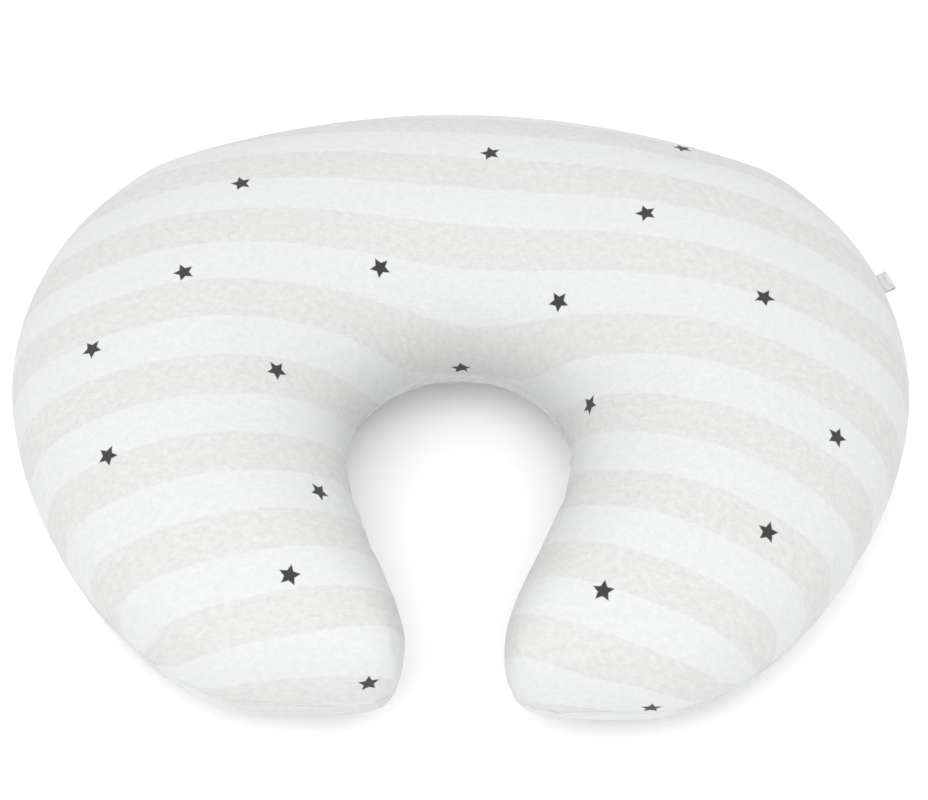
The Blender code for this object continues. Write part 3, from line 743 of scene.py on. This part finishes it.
def finish_panel(ob, points, round_off, flat, side, stars):
    rows, columns = round_off.shape
    corners = corner_vertices(ob)
    set_uv(ob, "cloth", flat.reshape(-1, 2)[corners])
    inner = np.clip(1 - np.arange(columns) / (columns / 2), 0, 1)[None, :] * np.ones((rows, 1))
    open_edge = np.zeros((rows, columns))
    angle = np.abs(np.arctan2(points[..., 0], points[..., 1] - ARC_Y))
    slot = fade(angle, ZIP_TURN * SLOT_CLOSES[0], ZIP_TURN * SLOT_CLOSES[1])
    open_edge[:, columns // 2:] = slot[:, columns // 2:]
    for name, values in (("round", round_off), ("inner", inner), ("zip", open_edge)):
        layer = ob.data.attributes.new(name, "FLOAT", "POINT")
        layer.data.foreach_set("value", values.reshape(-1).astype(np.float32))
    fine = ob.modifiers.new("Finer", "SUBSURF")
    fine.levels = fine.render_levels = 1
    select_only(ob)
    bpy.ops.object.modifier_apply(modifier="Finer")
    count = len(ob.data.vertices)
    read = {}
    for name in ("round", "inner", "zip"):
        values = np.empty(count, np.float32)
        ob.data.attributes[name].data.foreach_get("value", values)
        read[name] = values.astype(float)
    co = places(ob)
    normals = facing(ob)
    depth = np.clip(read["round"], 0, 1) * 0.08
    sewn = 1 - read["zip"]
    turn = np.arctan2(co[:, 0], co[:, 1] + 0.03) * 0.25
    ripple = sum(np.sin(2 * math.pi * turn / length + 7.1 * i + side * i)
                 for i, length in enumerate(WAVES)) / len(WAVES)
    patches = 0.5 + 0.5 * np.sin(turn * 2 * math.pi / 0.083 + side)
    pucker = (0.0006 + 0.0009 * read["inner"]) * ripple * patches
    pucker *= np.exp(-depth / 0.012) * (1 - np.exp(-depth / 0.003)) * sewn
    crease = CREASE * np.exp(-depth / 0.003) * sewn
    co += normals * pucker[:, None]
    for i in np.nonzero(crease > 0.00005)[0]:      # straight in toward the middle of the pillow
        hand = -1.0 if co[i, 0] < 0 else 1.0
        into = FINE_IN[SEAM_TREE.find((abs(co[i, 0]), co[i, 1] - CENTRE_Y, 0))[1]]
        co[i, :2] += into * (hand, 1) * crease[i]
    co[:, 2] = np.maximum(co[:, 2], 0.0)
    mark_stars(ob, co, normals, stars)
    on_seam = (read["round"] < 0.004) & (read["zip"] < 0.02)
    print(ob.name, "has", len(co), "points,", int(on_seam.sum()), "of them on the seam")
    return co, on_seam


# %% Thickness and material
COVER_CLOTH = 0.001


def thicken_panel(ob, co):
    put(ob, co)
    thicken(ob, COVER_CLOTH)
    bpy.ops.object.shade_smooth()
    for name in ("round", "inner", "zip"):
        ob.data.attributes.remove(ob.data.attributes[name])
    ob.data.materials.append(jersey)


top_co, top_sewn = finish_panel(top_panel, top_points, top_round, flats[0], 1, TOP_STARS)
low_co, low_sewn = finish_panel(low_panel, low_points, low_round, flats[1], -1, LOW_STARS)
# both grids have the same layout, so the sewn edges match point by point and are drawn together
sewn = top_sewn & low_sewn & (np.linalg.norm(top_co - low_co, axis=1) < 0.008)
seam_edge = (top_co[sewn] + low_co[sewn]) / 2
top_co[sewn] = low_co[sewn] = seam_edge
for panel, co, side, cad in ((top_panel, top_co, 1, "top"), (low_panel, low_co, -1, "bottom")):
    thicken_panel(panel, co)
    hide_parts(f"cover_{cad}_panel")
    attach(panel, "pillow")
    print(panel.name, len(panel.data.polygons), "faces")


# %% [markdown]
# ## The inner casing and its filling
# Inside the cover a plain cotton casing is sewn the same way and packed with polyester fibre.
# Both are domes like the cover's, set a few millimetres further in, and are seen only when the
# cover is taken apart.

# %% Plain cloth
def plain_cloth(name, code, grain, rough):
    made, tree, shader = new_material(name)
    spot = node(tree, "TexCoord").outputs["Object"]
    weave = node(tree, "TexNoise", {"Vector": spot, "Scale": grain, "Detail": 3.0})
    shade = node(tree, "ValToRGB", {0: weave},
                 stops=((0.35, darker(code, 0.86)), (0.65, srgb(code))))
    tree.links.new(shade.outputs[0], shader.inputs["Base Color"])
    bump = node(tree, "Bump", {"Height": weave, "Strength": 0.4, "Distance": 0.0006})
    tree.links.new(bump.outputs[0], shader.inputs["Normal"])
    shader.inputs["Roughness"].default_value = rough
    return made


# unbleached plain-woven cotton is creamy and dull; loose polyester fibre is whiter and has no sheen
casing_cloth = plain_cloth("unbleached_casing_cotton", "dedbd2", 900.0, 0.9)
fibre_fill = plain_cloth("polyester_fibre_wadding", "e9e9e6", 160.0, 1.0)


# %% What every new piece gets at the end
def finish(ob, material, *cad, body="pillow", slot=None):
    ob.data.materials.clear()
    ob.data.materials.append(material)
    select_only(ob)
    bpy.ops.object.transform_apply(location=True, rotation=True, scale=True)
    bpy.ops.object.shade_smooth_by_angle(angle=math.radians(40))
    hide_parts(*cad)
    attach(ob, body)
    print(ob.name, len(ob.data.polygons), "faces")
    return ob


# %% The casing
COARSE = np.radians(np.linspace(-90, 90, 31))
COARSE_ROWS = (14, 16, 9)
CASING_IN, CASING_DOWN = 0.0065, 0.0032         # in from the seam and down from the crown
FILLING_IN, FILLING_DOWN = 0.0095, 0.0050

for side, part in ((1, "top"), (-1, "bottom")):
    points, _ = dome(CASING_IN, CASING_DOWN, side, COARSE_ROWS, COARSE, gap=0.0004)
    casing = sheet(f"inner_casing_{part}_cloth", points, flip=side > 0)
    thicken(casing, 0.0006)
    finish(casing, casing_cloth, f"inner_casing_{part}", slot="casing_cloth")

# %% The filling
halves = []
for side in (1, -1):
    points, _ = dome(FILLING_IN, FILLING_DOWN, side, COARSE_ROWS, COARSE)
    halves.append(sheet("fibre_filling_wadding", points, flip=side > 0))
select_only(*halves)
bpy.ops.object.join()
filling = bpy.context.object
filling.name = "fibre_filling_wadding"
close_up(0.0001)
finish(filling, fibre_fill, "fibre_filling", slot="fibre")


# %% [markdown]
# ## Seams
# A seam shows as a row of short stitches in the crease. Each stitch is a swelling on one thin
# round thread that follows the seam.

# %% A stitched thread
SEAM_THREAD, CASING_THREAD = 0.00035, 0.0003    # radii
thread_material, tree, shader = new_material("white_sewing_thread")
shader.inputs["Base Color"].default_value = srgb("e4e4e2")
shader.inputs["Roughness"].default_value = 0.75


def thread(name, line, thick, stitch=0.0032, around=6):
    """A round thread along a line of points, pinched once per stitch."""
    ahead = np.gradient(line, axis=0)
    ahead /= np.linalg.norm(ahead, axis=1, keepdims=True)
    side = np.cross(ahead, (0, 0, 1.0))
    side /= np.linalg.norm(side, axis=1, keepdims=True)
    up = np.cross(side, ahead)
    run = np.pad(np.cumsum(np.linalg.norm(np.diff(line, axis=0), axis=1)), (1, 0))
    fat = thick * (0.45 + 0.55 * np.abs(np.sin(math.pi * run / stitch)))
    turn = np.linspace(0, 2 * math.pi, around + 1)
    ring = side[:, None] * np.cos(turn)[None, :, None] + up[:, None] * np.sin(turn)[None, :, None]
    made = sheet(name, line[:, None] + ring * fat[:, None, None], flip=False)
    close_up(0.00001)
    return made


# %% The two seams' threads
def sewn_line(start, inset, z_of=None):
    """The seam from one side of the zip round to the other, or a level line at a height."""
    far = np.arange(start, ALONG[-1], 0.0009)
    signed = np.concatenate([far, -far[::-1]])
    line = seam_points(signed)
    plan = outline_at(np.abs(signed), inset)
    if z_of is not None:
        line = np.stack([plan[:, 0] * np.sign(signed), plan[:, 1] + CENTRE_Y,
                         np.full(len(plan), z_of)], -1)
    return line


cover_line = sewn_line(ZIP_END * SLOT_CLOSES[1], 0.0)
edge = tree_of(seam_edge)
cover_line = np.array([edge.find(p)[0] for p in cover_line])
for _ in range(6):
    cover_line[1:-1] = (cover_line[:-2] + cover_line[1:-1] * 2 + cover_line[2:]) / 4
finish(thread("cover_seam_stitches", cover_line, SEAM_THREAD), thread_material,
       "cover_seam_thread", slot="sewing_thread")
casing_line = sewn_line(0.001, CASING_IN - CASING_THREAD, SEAM_HEIGHT)[::2]
finish(thread("casing_seam_stitches", casing_line, CASING_THREAD, around=4), thread_material,
       "casing_seam_thread", slot="sewing_thread")


# %% [markdown]
# ## The coil zip
# The zip lies along a true arc, so each of its repeated parts is drawn once at the middle of the
# back and copied round the arc by an array that turns about the arc's centre.

# %% Woven tape and ribbon, coil and metal
def woven(name, code, rib):
    made, tree, shader = new_material(name)
    spot = node(tree, "TexCoord").outputs["Object"]
    ribs = node(tree, "TexWave", {"Vector": spot, "Scale": rib, "Distortion": 0.4},
                bands_direction="Z")
    shade = node(tree, "MixRGB", {0: ribs, 1: darker(code, 0.84), 2: srgb(code)})
    tree.links.new(shade.outputs[0], shader.inputs["Base Color"])
    bump = node(tree, "Bump", {"Height": ribs, "Strength": 0.3, "Distance": 0.0002})
    tree.links.new(bump.outputs[0], shader.inputs["Normal"])
    shader.inputs["Roughness"].default_value = 0.85
    return made


zip_tape = woven("woven_zip_tape", "dcdcda", 320.0)
ribbon = woven("woven_ribbon", "d2d2d0", 260.0)
# a nylon coil is a smooth extruded thread, so it is glossier than the woven tape
coil_nylon, tree, shader = new_material("nylon_zip_coil")
shader.inputs["Base Color"].default_value = srgb("e6e6e4")
shader.inputs["Roughness"].default_value = 0.4
# the castings are taken to be plated zinc, bright but not like a mirror
plated, tree, shader = new_material("plated_zinc")
shader.inputs["Base Color"].default_value = srgb("b9babc")
shader.inputs["Metallic"].default_value = 1.0
shader.inputs["Roughness"].default_value = 0.32


# %% Working round the arc
ARC_CENTRE = Vector((0, ARC_Y, SEAM_HEIGHT))


def on_arc(turn, out, z):
    """Points at angles round the arc, out from it and above the seam."""
    r = BACK_RADIUS + out
    return np.stack([r * np.sin(turn), ARC_Y + r * np.cos(turn), SEAM_HEIGHT + z], -1)


def repeat_on_arc(piece, pitch, first, last):
    """Copies a piece, drawn at the middle of the back, round the arc from first to last angle."""
    bpy.context.scene.cursor.location = ARC_CENTRE
    select_only(piece)
    bpy.ops.object.transform_apply(location=True, rotation=True, scale=True)
    bpy.ops.object.origin_set(type="ORIGIN_CURSOR")
    piece.rotation_euler.z = -first
    bpy.ops.object.transform_apply(location=False, rotation=True, scale=False)
    guide = bpy.data.objects.new("arc_step", None)
    bpy.context.scene.collection.objects.link(guide)
    guide.location = ARC_CENTRE
    guide.rotation_euler.z = -pitch / BACK_RADIUS
    copies = piece.modifiers.new("Round the arc", "ARRAY")
    copies.use_relative_offset = False
    copies.use_object_offset = True
    copies.offset_object = guide
    copies.count = int(round((last - first) * BACK_RADIUS / pitch)) + 1
    bpy.context.view_layer.update()
    bpy.ops.object.modifier_apply(modifier="Round the arc")
    bpy.data.objects.remove(guide)
    bpy.context.scene.cursor.location = (0, 0, 0)
    return piece


# %% The two halves of the zip
TAPE_OUT, TAPE_THICK = -0.0015, 0.0007          # its outer face and thickness
TAPE_RISE = np.array([0.0015, 0.0045, 0.0075, 0.0105, 0.013])   # across its width
TEETH = 0.0014              # pitch of the coil
COIL_DEEP, COIL_TALL = 0.0010, 0.001425         # half sizes of one turn of it
STITCH, STITCH_PITCH = 0.0012, 0.0031           # half a topstitch, and from one to the next
TOPSTITCH_AT = 0.0072
coil_turn = math.radians(21)
for side, part in ((1, "upper"), (-1, "lower")):
    turns = np.linspace(-ZIP_TURN, ZIP_TURN, 97)[:, None]
    heights = side * TAPE_RISE[None, :]
    tape = sheet(f"zip_tape_{part}_woven",
                 on_arc(turns + 0 * heights, TAPE_OUT, heights + 0 * turns), flip=side < 0)
    thicken(tape, TAPE_THICK)
    finish(tape, zip_tape, f"zip_tape_{part}", slot="zip_tape")

    bpy.ops.object.select_all(action="DESELECT")
    bpy.ops.mesh.primitive_torus_add(major_segments=10, minor_segments=5, major_radius=0.0011,
                                     minor_radius=0.00033, rotation=(0, math.pi / 2, 0.18))
    tooth = bpy.context.object
    tooth.name = tooth.data.name = f"zip_coil_{part}_teeth"
    bpy.ops.object.transform_apply(location=False, rotation=True, scale=True)
    tooth.scale = (1, COIL_DEEP / 0.00143, COIL_TALL / 0.00143)     # 1.43 mm: ring and wire
    tooth.location = on_arc(np.array(0.0), -0.0002, side * (COIL_TALL + 0.00015))
    shift = (0.25 if side > 0 else -0.25) * TEETH / BACK_RADIUS
    repeat_on_arc(tooth, TEETH, -coil_turn + 0.002 + shift, coil_turn - 0.002 + shift)
    finish(tooth, coil_nylon, f"zip_coil_{part}", slot="zip_coil")

    bpy.ops.object.select_all(action="DESELECT")
    bpy.ops.mesh.primitive_uv_sphere_add(segments=8, ring_count=5, radius=SEAM_THREAD)
    dash = bpy.context.object
    dash.name = dash.data.name = f"zip_topstitch_{part}_stitches"
    dash.scale = (STITCH / SEAM_THREAD, 1, 1)
    dash.location = on_arc(np.array(0.0), 0.00045, side * TOPSTITCH_AT)
    repeat_on_arc(dash, STITCH_PITCH, -ZIP_TURN * 0.97, ZIP_TURN * 0.97)
    finish(dash, thread_material, f"zip_topstitch_{part}", slot="sewing_thread")


# %% [markdown]
# ## The metal parts and the ribbon loop
# The slider, its pull and the three stops keep their CAD solids, which are already drawn as metal
# castings are, and only get their finish. The loop in the side seam is a short folded ribbon.

# %% Zip metal
for name in ("zip_slider", "zip_pull", "zip_top_stop_upper", "zip_top_stop_lower",
             "zip_bottom_stop"):
    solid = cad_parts[name]
    solid.data.materials.clear()
    solid.data.materials.append(plated)
    print("CAD solid kept:", name)


# %% [markdown]
# The loop is a ribbon folded in half. Its line rises from the seam, rounds the fold and comes back
# below, and its free end tilts up a little, because nothing holds it down.

# %% The ribbon loop
TAB_AT, TAB_WIDTH, TAB_REACH = 0.305, 0.014, 0.011
root = outline_at(np.array([TAB_AT]))[0]
outward = -(outline_at(np.array([TAB_AT]), 1.0)[0] - root)
beside = np.array([-outward[1], outward[0]])
fold = np.linspace(-1, 1, 33)[:, None]
reach = -0.003 + (TAB_REACH + 0.003) * (1 - fold**4)
lift = 0.0011 * np.sin(math.pi * fold) + 0.16 * np.maximum(reach, 0)
width = np.linspace(-TAB_WIDTH / 2, TAB_WIDTH / 2, 9)[None, :]
lift = lift + 0.0005 * np.cos(width / TAB_WIDTH * 5) * np.maximum(reach, 0) / TAB_REACH
plan = root + outward * (reach + 0 * width)[..., None] + beside * (width + 0 * reach)[..., None]
loop = sheet("seam_tab_ribbon", np.stack([plan[..., 0], plan[..., 1] + CENTRE_Y,
                                          SEAM_HEIGHT + lift], -1), flip=False)
thicken(loop, 0.0004, offset=0)
finish(loop, ribbon, "seam_tab", slot="tab_ribbon")


# %% [markdown]
# ## Camera, floor and light
# The view is from 55 degrees above the floor with a long lens. The floor is plain white, and a
# bright room with one large soft light above keeps the shadows faint.

# %% Camera
scene = bpy.context.scene
scene.view_settings.view_transform = "Standard"
camera_data = bpy.data.cameras.new("main_camera")
camera_data.lens, camera_data.sensor_width = 112.3, 36.0
camera = bpy.data.objects.new("main_camera", camera_data)
scene.collection.objects.link(camera)
scene.camera = camera
aim = Vector((0.0025, 0.000, 0.0705))
swing, lift = math.radians(1.05), math.radians(55)
away = Vector((math.sin(swing) * math.cos(lift), -math.cos(swing) * math.cos(lift),
               math.sin(lift)))
camera.location = aim + away * 1.8
camera.rotation_euler = (-away).to_track_quat("-Z", "Y").to_euler()

print("Camera at, m:", [round(v, 3) for v in camera.location])

# %% Floor
floor_material, tree, shader = new_material("white_floor")
shader.inputs["Base Color"].default_value = srgb("ffffff")
shader.inputs["Roughness"].default_value = 1.0
shader.inputs["Specular IOR Level"].default_value = 0.0
bpy.ops.object.select_all(action="DESELECT")
bpy.ops.mesh.primitive_plane_add(size=12.0, location=(0, 0, -0.0005))
floor = bpy.context.object
floor.name = "floor"
floor.data.materials.append(floor_material)

# %% Light
world = bpy.data.worlds.new("soft_white_room")
world.use_nodes = True
sky = world.node_tree
up = node(sky, "SeparateXYZ", {0: node(sky, "TexCoord").outputs["Generated"]})
overhead = node(sky, "MapRange", {"Value": up.outputs[2], "To Min": 0.65, "To Max": 1.0})
sky.links.new(overhead.outputs[0], sky.nodes["Background"].inputs["Color"])
sky.nodes["Background"].inputs["Strength"].default_value = 1.20
scene.world = world
bpy.ops.object.light_add(type="AREA", location=(-0.20, -0.9, 1.8))
lamp = bpy.context.object
lamp.name = "large_soft_light"
lamp.data.size = 2.0
lamp.data.energy = 20.0
lamp.rotation_euler = (Vector((0, 0, 0.05)) - lamp.location).to_track_quat("-Z", "Y").to_euler()
print("Lamp at, m:", [round(v, 2) for v in lamp.location])
